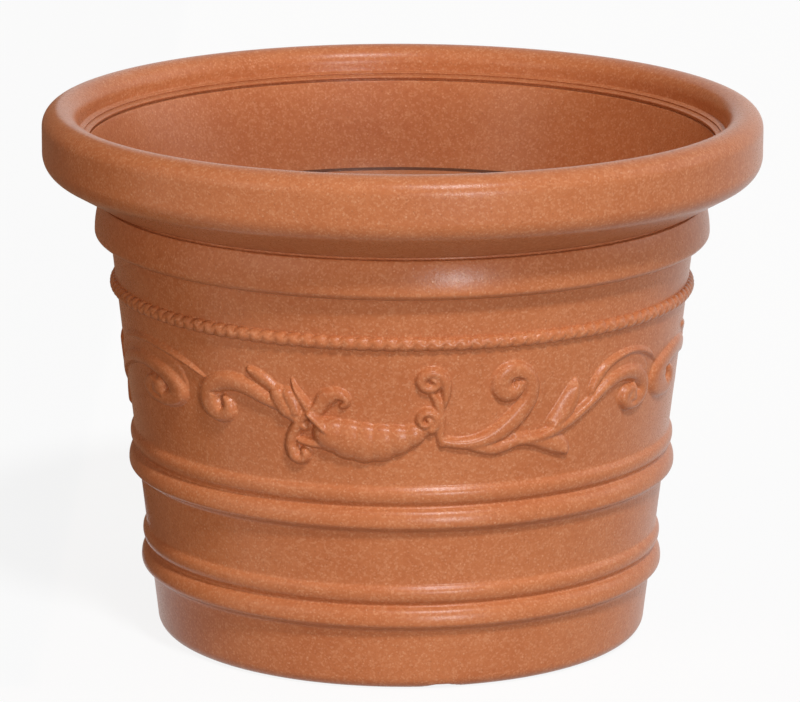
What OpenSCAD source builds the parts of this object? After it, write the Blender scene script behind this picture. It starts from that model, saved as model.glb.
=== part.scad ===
/* [Overall] */
// Height from the floor to the top of the rim
pot_h = 445; // [400:5:520]
// Outer diameter of the rim
rim_d = 600; // [580:5:680]
// Outer diameter of the wall at the floor
foot_d = 409; // [340:1:440]
// Outer diameter of the wall just under the neck
shoulder_d = 487; // [460:1:500]
// Thickness of the moulded skin
skin = 5; // [4:0.5:6]

/* [Rim] */
// Thickness across the rounded top of the rim
roll_w = 30; // [24:1:34]
// Height of the straight outer face of the rim
rim_face_h = 21.5; // [10:0.5:40]
// Radius of the lower outer corner of the rim
rim_corner = 19.5; // [16:0.5:30]
// Slope of the rim's underside
rim_slope = 29.5; // [20:0.5:40]
// Depth of the straight inner face, from the middle of the roll to the lip
rim_inner_h = 6; // [4:1:12]
// Width of each of the two lip steps
lip_step_w = 4.4; // [3:0.2:6]
// Drop of each of the two lip steps
lip_step_h = 2.6; // [1.5:0.1:4]
// Height of the groove under the lip
groove_h = 2.2; // [1.5:0.1:3]
// Depth of the groove under the lip
groove_d = 2.6; // [1.5:0.1:3]

/* [Neck] */
// How far the neck ring stands out of the wall
neck_out = 13.3; // [9:0.1:18]
// Height from the foot of the neck ring to the rim's underside
neck_h = 35; // [28:1:50]
// Height of the round underside of the neck ring
neck_turn = 7; // [5:0.5:14]
// How far the neck ring narrows again under the rim
neck_in = 4.9; // [1:0.1:6]

/* [Double rings] */
// Height of the lower pair's large ring
low_band_z = 58.4; // [50:0.2:70]
// Height of the middle pair's large ring
mid_band_z = 143.7; // [130:0.1:150]
// How far a large ring stands out of the wall
band_out = 8.1; // [5:0.1:12]
// Height of the upper half of a large ring
band_up = 14.3; // [12:0.1:18]
// Height of the lower slope of a large ring
band_down = 7.6; // [5:0.1:14]
// How far a small ring stands out of the wall
bead_out = 4.1; // [2.5:0.1:7]
// Half the height of a small ring
bead_half = 7.4; // [6:0.1:10]
// Height from a large ring to its small ring
bead_gap = 24.6; // [21:0.1:28]

/* [Rope] */
// Height from the middle of the rope to the foot of the neck ring
rope_drop = 37.2; // [20:0.2:44]
// Thickness of the rope
rope_d = 12.5; // [9:0.5:16]
// How far the rope's centre lies inside the wall
rope_sink = 0.8; // [0.4:0.1:2]
// Number of turns of the strands around the pot
rope_lobes = 132; // [60:4:132]
// Depth of the furrow between two strands, as a share of the radius
rope_furrow = 0.24; // [0.05:0.01:0.35]

/* [Garlands] */
// Clear height between the garlands and the rope above
garland_drop = 7.5; // [4:0.5:14]
// Clear height between the garlands and the rings below
garland_lift = 15.5; // [8:0.5:22]
// Angle that the front garland takes up
front_span = 108; // [90:1:130]
// How far the relief reaches into the wall
relief_sink = 1; // [0.5:0.1:2]
// Height of the finest relief
relief_min = 1.6; // [1:0.1:3]
// Height gained per millimetre of half width
relief_gain = 0.85; // [0.4:0.05:1.2]
// Width of the top of a stroke as a share of its foot
relief_top = 0.5; // [0.3:0.05:0.7]
// Turn from the front or the back at which the relief starts to get lower
fade_turn = 50; // [30:1:70]
// Height of the relief at the pot's two sides, as a share of its full height
side_rise = 0.35; // [0.2:0.05:1]

/* [Foot and floor] */
// Radius of the outer edge at the floor
edge_r = 12; // [5:1:14]
// Width of the ring that stands on the floor
contact_w = 11; // [8:1:20]
// Height of the recess under the floor
recess_h = 8; // [5:1:12]
// Thickness of the floor
floor_t = 6; // [5:0.5:9]
// Number of drainage notches in the foot ring
notch_n = 4; // [3:1:8]
// Width of a drainage notch
notch_w = 33; // [20:1:40]
// Height of a drainage notch
notch_h = 3.6; // [2:0.2:5]
// Angle from the front to the first notch
notch_turn = 9.6; // [0:0.2:40]
// Diameter of the drain hole
drain_d = 30; // [20:1:40]

/* [False bottom] */
// Height of the ledge that carries the false bottom, over the foot of the neck ring
ledge_rise = 2; // [0.5:0.5:5]
// Thickness of the neck just under the rim
neck_wall = 5.5; // [4:0.1:8]
// Width of the ledge
ledge_w = 13; // [11:0.5:18]
// Thickness of the ledge's lip
ledge_t = 6; // [4:0.5:9]
// Gap between the false bottom and the well's wall
disc_gap = 6; // [3:0.5:8]
// Thickness of the false bottom
disc_t = 6; // [4:0.5:8]
// Distance from the edge of the false bottom to the middle of a finger slot
slot_edge = 38; // [30:0.5:80]
// Length of a finger slot
slot_l = 92; // [80:1:120]
// Width of a finger slot
slot_w = 28; // [24:1:34]

/* [Drain plug] */
// Gap between the plug's stem and the drain hole, all round
plug_fit = 0.05; // [0.02:0.01:0.1]
// Diameter of the plug's flange
flange_d = 46; // [44:1:60]
// Thickness of the plug's flange
flange_t = 4; // [3:0.5:6]
// How far the stem stops above the floor's underside
stem_short = 0.5; // [0.2:0.1:2]
// Width of the plug's grip
grip_w = 28; // [20:1:36]
// Thickness of the plug's grip
grip_t = 6; // [4:0.5:9]

/* [Hidden] */
$fn = 144;
roll_r = roll_w / 2;
roll_c = [rim_d / 2 - roll_r, pot_h - roll_r];
corner_c = [rim_d / 2 - rim_corner, roll_c[1] - rim_face_h];
slope_end = corner_c + rim_corner * [sin(rim_slope), -cos(rim_slope)];
crest_r = shoulder_d / 2 + neck_out;
crease_r = crest_r - neck_in;
neck_z = slope_end[1] - (slope_end[0] - crease_r) * tan(rim_slope);
shoulder_z = neck_z - neck_h;
rope_z = shoulder_z - rope_drop;
floor_top = recess_h + floor_t;
ledge_z = shoulder_z + ledge_rise;
lip_r = rim_d / 2 - roll_w;
lip_z = roll_c[1] - rim_inner_h;
throat_r = lip_r - 2 * lip_step_w;
throat_z = lip_z - 2 * lip_step_h;
well_top_z = throat_z - groove_h;
well_slope = (throat_r - crease_r + neck_wall) / (well_top_z - neck_z);
function well_at(z) = throat_r - well_slope * (well_top_z - z);
well_r = well_at(ledge_z);
disc_r = well_r - disc_gap;
slot_r = disc_r - slot_edge;
turn_steps = 8;
band_step = 2.2;

function wall_r(z) = foot_d / 2 + (shoulder_d - foot_d) / 2 * z / shoulder_z;
function in_r(z) = wall_r(z) - skin;

function arc(c, r, from, to) = [for (i = [0:turn_steps])
    c + r * [cos(from + (to - from) * i / turn_steps), sin(from + (to - from) * i / turn_steps)]];

// A large ring is round above its crest and falls back to the wall in a long slope
function large_ring(z, c) = z >= c
    ? band_out * sqrt(max(0, 1 - pow((z - c) / band_up, 2)))
    : band_out * (1 + cos(180 * min(1, (c - z) / band_down))) / 2;
function small_ring(z, c) = bead_out * sqrt(max(0, 1 - pow((z - c) / bead_half, 2)));
function double_ring(c) = let(low = c - band_down, high = c + bead_gap + bead_half,
    n = ceil((high - low) / band_step))
    [for (i = [0:n]) let(z = low + (high - low) * i / n)
        [wall_r(z) + max(large_ring(z, c), small_ring(z, c + bead_gap)), z]];

// The neck ring turns out of the wall in a quarter round, then leans back in up to the rim
crest_z = shoulder_z + neck_turn;
neck_ring = concat(
    [for (i = [0:turn_steps]) [shoulder_d / 2 + neck_out * sin(90 * i / turn_steps),
        crest_z - neck_turn * cos(90 * i / turn_steps)]],
    [for (i = [1:turn_steps]) [crest_r - neck_in * pow(i / turn_steps, 2),
        crest_z + (neck_z - crest_z) * i / turn_steps]]);

outside = concat(
    [[0, recess_h],
     [wall_r(0) - edge_r - contact_w - recess_h / 2, recess_h],
     [wall_r(0) - edge_r - contact_w, 0]],
    arc([wall_r(edge_r) - edge_r, edge_r], edge_r, -90, 0),
    double_ring(low_band_z),
    double_ring(mid_band_z),
    neck_ring,
    arc(corner_c, rim_corner, rim_slope - 90, 0));

inside = concat(
    arc(roll_c, roll_r, 0, 180),
    [[lip_r, lip_z],
     [lip_r - lip_step_w, lip_z - lip_step_h / 2],
     [lip_r - lip_step_w, lip_z - lip_step_h],
     [throat_r, lip_z - lip_step_h * 3 / 2],
     [throat_r, throat_z],
     [throat_r + groove_d, throat_z],
     [throat_r + groove_d, well_top_z],
     [throat_r, well_top_z],
     [well_r, ledge_z],
     [well_r - ledge_w, ledge_z],
     [well_r - ledge_w, ledge_z - ledge_t],
     [in_r(ledge_z - ledge_t - ledge_w / 2), ledge_z - ledge_t - ledge_w / 2],
     [in_r(floor_top + edge_r), floor_top + edge_r],
     [in_r(floor_top) - edge_r, floor_top],
     [0, floor_top]]);

// The rim is hollow: its inner and outer skins part above the neck
cavity_low_z = (corner_c[1] - (rim_corner - skin) * cos(rim_slope)
    - (corner_c[0] + (rim_corner - skin) * sin(rim_slope) - well_at(0) - skin) * tan(rim_slope))
    / (1 - well_slope * tan(rim_slope));
cavity_top_z = throat_z - groove_h - skin;
cavity = concat(
    [[well_at(cavity_low_z) + skin, cavity_low_z]],
    arc(corner_c, rim_corner - skin, rim_slope - 90, 0),
    arc(roll_c, roll_r - skin, 0, 180),
    [[lip_r + skin, lip_z - skin],
     [well_at(cavity_top_z) + skin + groove_d, cavity_top_z + skin],
     [well_at(cavity_top_z) + skin, cavity_top_z]]);

notch_r = (notch_w * notch_w / 4 + notch_h * notch_h) / (2 * notch_h);

module pot_shell() {
    color("sienna")
    difference() {
        rotate_extrude() polygon(concat(outside, inside));
        rotate_extrude() polygon(cavity);
        translate([0, 0, recess_h - 1])
            cylinder(h = floor_t + 2, d = drain_d);
        for (i = [0:notch_n - 1])
            rotate([0, 0, notch_turn - 90 + i * 360 / notch_n])
            translate([wall_r(0) - edge_r - contact_w - recess_h, 0, notch_h - notch_r])
            rotate([0, 90, 0])
                cylinder(h = contact_w + edge_r + 2 * recess_h, r = notch_r);
    }
}

// The rope is one tube around the wall, pinched between its slanting strands
rope_cols = 4 * rope_lobes;
rope_rows = 6;
function rope_part(i, j) = abs(sin(45 * i - 24 * j));
function rope_pt(i, j) = let(a = 360 * i / rope_cols, t = -90 + 180 * j / (rope_rows - 1),
    q = rope_d / 2 * (1 - rope_furrow * (1 - rope_part(i, j))),
    r = wall_r(rope_z) - rope_sink + q * cos(t))
    [r * cos(a), r * sin(a), rope_z + q * sin(t)];
function rope_id(i, j) = (i % rope_cols) * rope_rows + j % rope_rows;

module rope_band() {
    color("peru")
    polyhedron(
        points = [for (i = [0:rope_cols - 1], j = [0:rope_rows - 1]) rope_pt(i, j)],
        faces = [for (i = [0:rope_cols - 1], j = [0:rope_rows - 1], s = [0, 1])
            s == 0 ? [rope_id(i, j), rope_id(i, j + 1), rope_id(i + 1, j + 1)]
                   : [rope_id(i, j), rope_id(i + 1, j + 1), rope_id(i + 1, j)]]);
}

// The garlands fill the wall between the middle rings and the rope. Their strokes are drawn on a
// field of field_rows by 360 degrees and grow with the field's height and with the wall's girth
garland_low = mid_band_z + bead_gap + bead_half + garland_lift;
garland_high = rope_z - rope_d / 2 - garland_drop;
garland_z = (garland_low + garland_high) / 2;
field_rows = 92.2;
field_per_degree = 4.055;
tall_k = (garland_high - garland_low) / field_rows;
girth_k = PI * wall_r(garland_z) / 180 / field_per_degree;

// Strokes: [degrees from the front, height above the middle, half width]
function curl(c, r0, r1, from, sweep, w0, w1, n) = [for (i = [0:n])
    let(k = i / n, r = r0 + (r1 - r0) * k, t = from + sweep * k)
    [c[0] + r * cos(t) / field_per_degree, c[1] + r * sin(t), w0 + (w1 - w0) * k]];

scroll = [[-41.5, -13, 3], [-43, -6, 6], [-42.4, 4, 7.5], [-40.5, 12, 7.5], [-37.5, 16, 7],
          [-34.5, 17.5, 7], [-31.5, 15.5, 7], [-29, 11, 7], [-26, 6, 6]];
tongue = [[-38, 5, 1.5], [-36.8, 1, 3.5], [-36, -6, 2.5], [-35.8, -11, 1]];
small_leaf = [[-30.8, 29, 1], [-28.6, 24, 4], [-26, 19, 3.5]];
bulb = [[-25.2, 13, 7], [-23.4, 9, 9.5], [-21.3, 4, 7.5]];
spike = [[-21.8, 26, 1], [-21, 18, 2.5], [-19.6, 10, 3.6], [-18.4, 2, 3.6]];
knot_a = [[-22.5, 0, 5], [-19.5, -8, 5], [-16, -14, 6]];
knot_b = [[-21.8, -18, 5], [-18.8, -8, 5], [-16.4, 0, 4]];
low_hook = concat([[-21.8, -19, 5], [-22.1, -28, 5.5]],
                  curl([-20.1, -33], 6.5, 4, 190, 190, 5.5, 4, 4));
high_hook = concat([[-17, 4, 3.5], [-16.3, 13, 4.5]],
                   curl([-13.6, 12], 8, 5, 130, -190, 5, 3.5, 5));
ribs = [[-15.2, -16, 15], [-12.6, -18, 16], [-10, -20.5, 15.5], [-7.4, -24, 14.5],
        [-4.8, -25, 13.5], [-2.3, -23.5, 12], [0.1, -21.5, 10], [2.3, -19, 7.5],
        [4.4, -17, 5]];
button = curl([5, -2], 5, 2.5, -100, -270, 4, 3, 4);
stem_one = concat([[7.4, -19, 4], [8.1, -8, 4], [8.4, 4, 4], [8.2, 15, 4]],
                  curl([5.8, 29], 9.5, 2, -50, 430, 4.4, 3, 9));
stem_two = concat([[8.3, -22, 4], [12, -25, 5], [16, -25.5, 6], [20, -21, 7], [23, -13, 6.5],
                   [25.2, -3, 6], [26.4, 8, 6]],
                  curl([22.3, 26], 14, 3, -25, 420, 6, 4, 10));
low_leaf = [[14, -27, 3], [18.7, -30, 5.5], [23, -26, 4.5], [27, -25.5, 5], [30, -32, 6],
            [33, -37, 5], [36, -42, 1]];
high_leaf = [[36.6, 19, 1], [36, 10, 5], [34.7, 1, 6.5], [33, -9, 6], [30.6, -19, 4]];
stem_three = concat([[28.5, -28, 4], [34, -21.5, 4.5], [38, -14, 5], [41.5, -5, 5],
                     [44.5, 5.5, 6], [47.5, 13, 6.5]],
                    curl([53.2, -1], 17, 4, 118, -400, 7, 4, 11));
outer_leaf = [[41, 10, 2.5], [43.2, 21, 4.8], [46.5, 29.5, 4], [50.5, 33.5, 2.6],
              [55.5, 31.5, 2.6], [59, 26, 2.2], [61.5, 19.5, 1]];
broad_leaf = [[46.5, 21, 2], [50.5, 26.5, 3.5], [54.5, 24, 4], [57.6, 16, 3.4], [58.8, 6, 2]];

strokes = [scroll, tongue, small_leaf, bulb, spike, knot_a, knot_b, low_hook, high_hook, button,
           stem_one, stem_two, low_leaf, high_leaf, stem_three, outer_leaf, broad_leaf];
motif_start = -44.5;
motif_end = 63.5;
// A leaf's tip at the end of one garland reaches over the start of the next
motif_overlap = 3.5;
// The volute at the start and the snail at the end of a rear garland, in the drawing and in place
head_span = 20;
tail_span = 23.5;
head_turn = 32;
tail_turn = 40.2;

// The relief gets lower towards the two sides, where the halves of the mould part
function parting_k(turn) = side_rise + (1 - side_rise) * min(1, abs(cos(turn)) / cos(fade_turn));

// A garland is turned to its place by pairs of [angle in the drawing, angle around the pot]
module stud(p, places) {
    turn = lookup(p[0], places);
    z = garland_z + tall_k * p[1];
    w = girth_k * p[2];
    rise = parting_k(turn) * (relief_min + relief_gain * w);
    rotate([0, 0, turn])
    translate([0, relief_sink - wall_r(z), z])
    rotate([90 + atan((shoulder_d - foot_d) / 2 / shoulder_z), 0, 0])
        cylinder(h = relief_sink + rise, r1 = w, r2 = relief_top * w, $fn = 7);
}

module garland(places) {
    for (s = strokes, i = [0:len(s) - 2])
        hull() {
            stud(s[i], places);
            stud(s[i + 1], places);
        }
    for (r = ribs)
        hull() {
            stud([r[0] - 0.7, r[1] + r[2] - 5, 5.6], places);
            stud([r[0] + 0.5, r[1] - r[2] + 6, 6.6], places);
        }
}

// The two rear garlands share what the front one leaves, with their ends drawn out
front_end = motif_start + front_span;
rear_start = front_end - motif_overlap;
rear_span = (360 - front_span) / 2 + motif_overlap;
rear_low = motif_start + head_span;
rear_high = motif_end - tail_span;
function rear_places(from) = [[motif_start, from], [rear_low, from + head_turn],
    [rear_high, from + rear_span - tail_turn], [motif_end, from + rear_span]];

module garland_front() {
    color("chocolate")
    garland([[motif_start, motif_start], [motif_end, front_end]]);
}

module garland_right() {
    color("coral") garland(rear_places(rear_start));
}

module garland_left() {
    color("tomato") garland(rear_places(motif_start + motif_overlap - rear_span));
}

module false_bottom() {
    color("burlywood")
    difference() {
        translate([0, 0, ledge_z]) cylinder(h = disc_t, r = disc_r);
        for (side = [-1, 1])
            translate([side * slot_r, 0, ledge_z - 1])
            linear_extrude(disc_t + 2)
            union() {
                square([slot_w, slot_l - slot_w], center = true);
                for (end = [-1, 1])
                    translate([0, end * (slot_l - slot_w) / 2]) circle(d = slot_w);
            }
    }
}

module drain_plug() {
    color("dimgray") {
        translate([0, 0, recess_h + stem_short])
            cylinder(h = floor_t - stem_short + flange_t / 2, d = drain_d - 2 * plug_fit);
        translate([0, 0, floor_top]) cylinder(h = flange_t, d = flange_d);
        intersection() {
            translate([0, grip_t / 2, floor_top + flange_t])
            rotate([90, 0, 0])
                cylinder(h = grip_t, d = grip_w);
            translate([-grip_w / 2, -grip_t / 2, floor_top + flange_t / 2])
                cube([grip_w, grip_t, grip_w]);
        }
    }
}

pot_shell();
rope_band();
garland_front();
garland_right();
garland_left();
false_bottom();
drain_plug();
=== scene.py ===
import math

import bmesh
import bpy
import numpy as np
from mathutils import Matrix, Vector


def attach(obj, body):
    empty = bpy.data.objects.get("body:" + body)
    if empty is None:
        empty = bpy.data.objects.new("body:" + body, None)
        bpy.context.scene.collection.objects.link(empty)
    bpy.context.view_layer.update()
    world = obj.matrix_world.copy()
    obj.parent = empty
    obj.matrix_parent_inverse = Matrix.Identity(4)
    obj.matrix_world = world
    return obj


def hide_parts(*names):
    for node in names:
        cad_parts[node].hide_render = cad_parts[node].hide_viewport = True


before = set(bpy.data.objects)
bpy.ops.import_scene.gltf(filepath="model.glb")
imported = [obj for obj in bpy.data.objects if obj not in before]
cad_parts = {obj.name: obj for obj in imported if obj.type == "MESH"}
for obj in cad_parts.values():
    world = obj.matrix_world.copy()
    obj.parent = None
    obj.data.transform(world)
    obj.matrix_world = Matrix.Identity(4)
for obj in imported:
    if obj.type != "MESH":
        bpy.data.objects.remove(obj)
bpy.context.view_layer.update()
mm = 0.001


# Pot shell
# Rotationally moulded in terracotta coloured plastic: foot, tapered wall with its two double rings,
# shoulder, neck, thick rolled rim, lip steps and shadow groove are one skin. The foot ring has four
# shallow drainage notches, and the ledge inside the neck carries the false bottom.

POT_HEIGHT = 445.0
RIM_RADIUS = 299.9
ROLL_RADIUS = 15.0
RIM_FACE = 21.5
RIM_CORNER = 19.5
RIM_SLOPE = math.radians(29.5)
SHOULDER_RADIUS = 243.5
FOOT_RADIUS = 204.5
NECK_OUT, NECK_IN, NECK_HIGH, NECK_TURN, NECK_WALL = 13.3, 4.9, 35.0, 7.0, 5.5
SKIN = 5.0
TURNS = 352                      # steps around every round piece of the shell

ROLL_CENTRE = (RIM_RADIUS - ROLL_RADIUS, POT_HEIGHT - ROLL_RADIUS)
CORNER_CENTRE = (RIM_RADIUS - RIM_CORNER, ROLL_CENTRE[1] - RIM_FACE)
SLOPE_END = (CORNER_CENTRE[0] + RIM_CORNER * math.sin(RIM_SLOPE),
             CORNER_CENTRE[1] - RIM_CORNER * math.cos(RIM_SLOPE))
NECK_CREST = SHOULDER_RADIUS + NECK_OUT
NECK_CREASE = NECK_CREST - NECK_IN
NECK_Z = SLOPE_END[1] - (SLOPE_END[0] - NECK_CREASE) * math.tan(RIM_SLOPE)
SHOULDER_Z = NECK_Z - NECK_HIGH


def wall_radius(z):
    return FOOT_RADIUS + (SHOULDER_RADIUS - FOOT_RADIUS) * z / SHOULDER_Z


def double_ring(z, crest):
    """How far a pair of rings stands out: a large one with a tight lower turn, a small one above"""
    out, up, down = 8.1, 14.3, 7.6
    bead, bead_half, bead_gap = 4.1, 7.4, 24.6
    if z >= crest:
        large = out * math.sqrt(max(0.0, 1 - ((z - crest) / up) ** 2))
    else:
        large = out * (1 + math.cos(math.pi * min(1.0, (crest - z) / down))) / 2
    small = bead * math.sqrt(max(0.0, 1 - ((z - crest - bead_gap) / bead_half) ** 2))
    return max(large, small)


def arc(cx, cz, radius, start, stop, steps):
    return [(cx + radius * math.cos(start + (stop - start) * k / steps),
             cz + radius * math.sin(start + (stop - start) * k / steps)) for k in range(steps + 1)]


def dense(points, step):
    """The same line with a point every step millimetres"""
    line = np.array(points, float)
    run = np.concatenate([[0], np.cumsum(np.hypot(*np.diff(line, axis=0).T))])
    at = np.linspace(0, run[-1], max(2, int(run[-1] / step)))
    return np.column_stack([np.interp(at, run, line[:, 0]), np.interp(at, run, line[:, 1])])


def bell(step, sigma):
    """Weights of a bell curve for points that lie a step apart"""
    reach = int(math.ceil(3 * sigma / step))
    weights = np.exp(-0.5 * (np.arange(-reach, reach + 1) * step / sigma) ** 2)
    return weights / weights.sum()


def softened(points, step, sigma):
    """A dense line through the points, with corners rounded as a mould's draft and radii do"""
    line, weights = dense(points, step), bell(step, sigma)
    reach = len(weights) // 2
    padded = np.vstack([2 * line[0] - line[reach:0:-1], line,
                        2 * line[-1] - line[-2:-reach - 2:-1]])
    return np.column_stack([np.convolve(padded[:, k], weights, "valid") for k in (0, 1)])


def thin_out(line, error, furthest=40):
    """Keeps only the points that the line needs to stay within an error"""
    keep = [0]
    last = 0
    while last < len(line) - 1:
        ahead = min(len(line) - 1, last + furthest)
        while ahead > last + 1:
            chord = line[ahead] - line[last]
            between = line[last + 1:ahead] - line[last]
            off = np.abs(chord[0] * between[:, 1] - chord[1] * between[:, 0]) / np.hypot(*chord)
            if off.max() <= error:
                break
            ahead -= 1
        keep.append(ahead)
        last = ahead
    return line[keep]


FLOOR_UNDER, FLOOR_TOP = 8.0, 14.0
LOW_RING, MIDDLE_RING = 58.4, 143.7
STEP_WIDTH, STEP_DROP = 4.4, 2.6
LIP_DROP = 6.0                   # from the middle of the rolled rim down to the lip
LIP_RADIUS, LIP_Z = RIM_RADIUS - 2 * ROLL_RADIUS, ROLL_CENTRE[1] - LIP_DROP
UPPER_STEP, UPPER_FOOT = LIP_RADIUS - STEP_WIDTH, LIP_Z - STEP_DROP
GROOVE_HIGH, GROOVE_DEEP = 2.2, 2.6
CREASE = 0.8                     # small undercut at the foot of the upper lip step
TUCK_DEEP, TUCK_HIGH = 3.2, 3.0  # tuck where the neck runs up under the rim
THROAT = LIP_RADIUS - 2 * STEP_WIDTH
THROAT_Z = LIP_Z - 2 * STEP_DROP
WELL_TOP = THROAT_Z - GROOVE_HIGH
WELL_SLOPE = (THROAT - NECK_CREASE + NECK_WALL) / (WELL_TOP - NECK_Z)
WELL_RUN = 3.0                   # the lip's line goes on this far below the groove
WELL_START = (THROAT - WELL_RUN * WELL_SLOPE, WELL_TOP - WELL_RUN)
LEDGE_LIFT, LEDGE_IN, LEDGE_THICK = 2.0, 13.0, 6.0
LEDGE_Z = SHOULDER_Z + LEDGE_LIFT
LEDGE_UNDER = LEDGE_Z - LEDGE_THICK
LEDGE_FOOT = LEDGE_UNDER - LEDGE_IN / 2
WELL_RADIUS = THROAT - WELL_SLOPE * (WELL_TOP - LEDGE_Z)
DRAIN_RADIUS = 15.0
FOOT_EDGE, FOOT_RING = 12.0, 11.0
RING_INSIDE = FOOT_RADIUS - FOOT_EDGE - FOOT_RING
BODY_STEP, RIM_STEP, LIP_STEP = 0.25, 0.5, 0.2       # between points, before the lines are thinned
RING_SOFT, BODY_SOFT, LIP_SOFT, INSIDE_SOFT, UNDER_SOFT = 1.3, 0.8, 0.32, 0.9, 0.6
TURN_STEPS = 24                  # of the shoulder's turn and of the neck's lean

foot_line = arc(wall_radius(FOOT_EDGE) - FOOT_EDGE, FOOT_EDGE, FOOT_EDGE, -math.pi / 2, 0, 16)
ring_line = [(wall_radius(z) + max(double_ring(z, LOW_RING), double_ring(z, MIDDLE_RING)), z)
             for z in np.arange(FOOT_EDGE, SHOULDER_Z, BODY_STEP)]
ring_line = [tuple(point) for point in softened(ring_line, BODY_STEP, RING_SOFT)]
turn_line = [(SHOULDER_RADIUS + NECK_OUT * math.sin(math.pi / 2 * k / TURN_STEPS),
              SHOULDER_Z + NECK_TURN - NECK_TURN * math.cos(math.pi / 2 * k / TURN_STEPS))
             for k in range(TURN_STEPS + 1)]
lean_line = [(NECK_CREST - NECK_IN * (k / TURN_STEPS) ** 2,
              SHOULDER_Z + NECK_TURN + (NECK_HIGH - NECK_TURN) * k / TURN_STEPS)
             for k in range(1, TURN_STEPS)]
tuck_line = [(NECK_CREASE, NECK_Z - TUCK_HIGH / 2),
             (NECK_CREASE - TUCK_DEEP, NECK_Z - TUCK_HIGH / 2),
             (NECK_CREASE - TUCK_DEEP, NECK_Z + TUCK_HIGH / 2),
             (NECK_CREASE + TUCK_HIGH, NECK_Z + TUCK_HIGH * math.tan(RIM_SLOPE))]
body_line = softened(foot_line + ring_line + turn_line + lean_line + tuck_line + [SLOPE_END],
                     BODY_STEP, BODY_SOFT)
rim_line = softened([tuple(body_line[-1])]
                    + arc(*CORNER_CENTRE, RIM_CORNER, RIM_SLOPE - math.pi / 2, 0, 40)[1:]
                    + arc(*ROLL_CENTRE, ROLL_RADIUS, 0, math.pi, 60), RIM_STEP, BODY_SOFT)
lip_line = softened([tuple(rim_line[-1]), (LIP_RADIUS, LIP_Z),
                     (UPPER_STEP, LIP_Z - STEP_DROP / 2), (UPPER_STEP, UPPER_FOOT + CREASE),
                     (UPPER_STEP + CREASE, UPPER_FOOT + CREASE),
                     (UPPER_STEP + CREASE, UPPER_FOOT), (UPPER_STEP, UPPER_FOOT),
                     (THROAT, LIP_Z - STEP_DROP * 1.5), (THROAT, THROAT_Z),
                     (THROAT + GROOVE_DEEP, THROAT_Z), (THROAT + GROOVE_DEEP, WELL_TOP),
                     (THROAT, WELL_TOP), WELL_START], LIP_STEP, LIP_SOFT)
inside_line = softened([WELL_START, (WELL_RADIUS, LEDGE_Z), (WELL_RADIUS - LEDGE_IN, LEDGE_Z),
                        (WELL_RADIUS - LEDGE_IN, LEDGE_UNDER),
                        (wall_radius(LEDGE_FOOT) - SKIN, LEDGE_FOOT),
                        (wall_radius(FLOOR_TOP + FOOT_EDGE) - SKIN, FLOOR_TOP + FOOT_EDGE),
                        (wall_radius(FLOOR_TOP) - SKIN - FOOT_EDGE, FLOOR_TOP),
                        (DRAIN_RADIUS, FLOOR_TOP)], RIM_STEP, INSIDE_SOFT)
under_line = softened([(DRAIN_RADIUS, FLOOR_TOP), (DRAIN_RADIUS, FLOOR_UNDER),
                       (RING_INSIDE - FLOOR_UNDER / 2, FLOOR_UNDER), (RING_INSIDE, 0),
                       foot_line[0]], RIM_STEP, UNDER_SOFT)
outline = np.vstack([thin_out(line, error)[:-1] for line, error in
                     ((body_line, 0.03), (rim_line, 0.02), (lip_line, 0.02),
                      (inside_line, 0.05), (under_line, 0.05))])


def link(name, mesh, smooth=True):
    piece = bpy.data.objects.new(name, mesh)
    bpy.context.scene.collection.objects.link(piece)
    if smooth:
        for face in mesh.polygons:
            face.use_smooth = True
    return piece


def mesh_from(name, points, faces):
    mesh = bpy.data.meshes.new(name)
    mesh.from_pydata(points, [], faces)
    mesh.validate()
    return mesh


NOTCHES, NOTCH_WIDTH, NOTCH_HIGH, NOTCH_TURN = 4, 33.0, 3.6, math.radians(9.6)


def notch_height(angle):
    """Height of the arch of a drainage notch at an angle from the front"""
    pitch = 2 * math.pi / NOTCHES
    away = (angle - NOTCH_TURN + pitch / 2) % pitch - pitch / 2
    across = away * (FOOT_RADIUS - FOOT_EDGE) / (NOTCH_WIDTH / 2)
    return NOTCH_HIGH * max(0.0, 1 - across * across)


points = []
for turn in range(TURNS):
    angle = 2 * math.pi * turn / TURNS
    arch = notch_height(angle)
    points += [(radius * math.sin(angle) * mm, -radius * math.cos(angle) * mm, max(z, arch) * mm)
               for radius, z in outline]
rows = len(outline)
faces = []
for turn in range(TURNS):
    here, there = turn * rows, (turn + 1) % TURNS * rows
    for k in range(rows):
        nxt = (k + 1) % rows
        faces.append((here + k, there + k, there + nxt, here + nxt))
shell = link("moulded_shell", mesh_from("moulded_shell", points, faces))


class Field:
    """One value in a node tree, on which sums and products read as plain maths"""

    def __init__(self, tree, socket):
        self.tree, self.socket = tree, socket

    def step(self, operation, left, right=0.0):
        return node(self.tree, "ShaderNodeMath", {"operation": operation}, {0: left, 1: right})

    def __add__(self, other):
        return self.step("ADD", self, other)

    def __radd__(self, other):
        return self.step("ADD", other, self)

    def __sub__(self, other):
        return self.step("SUBTRACT", self, other)

    def __rsub__(self, other):
        return self.step("SUBTRACT", other, self)

    def __mul__(self, other):
        return self.step("MULTIPLY", self, other)

    def __rmul__(self, other):
        return self.step("MULTIPLY", other, self)

    def __pow__(self, other):
        return self.step("POWER", self, other)

    def __lt__(self, other):
        return self.step("LESS_THAN", self, other)

    def __gt__(self, other):
        return self.step("GREATER_THAN", self, other)


def node(tree, kind, settings=None, inputs=None, output=0):
    """Adds one node: its settings first, then the values or links of its sockets"""
    made = tree.nodes.new(kind)
    for name, value in (settings or {}).items():
        setattr(made, name, value)
    for name, value in (inputs or {}).items():
        if isinstance(value, Field):
            tree.links.new(value.socket, made.inputs[name])
        else:
            made.inputs[name].default_value = value
    return Field(tree, made.outputs[output]) if made.outputs else None


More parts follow.
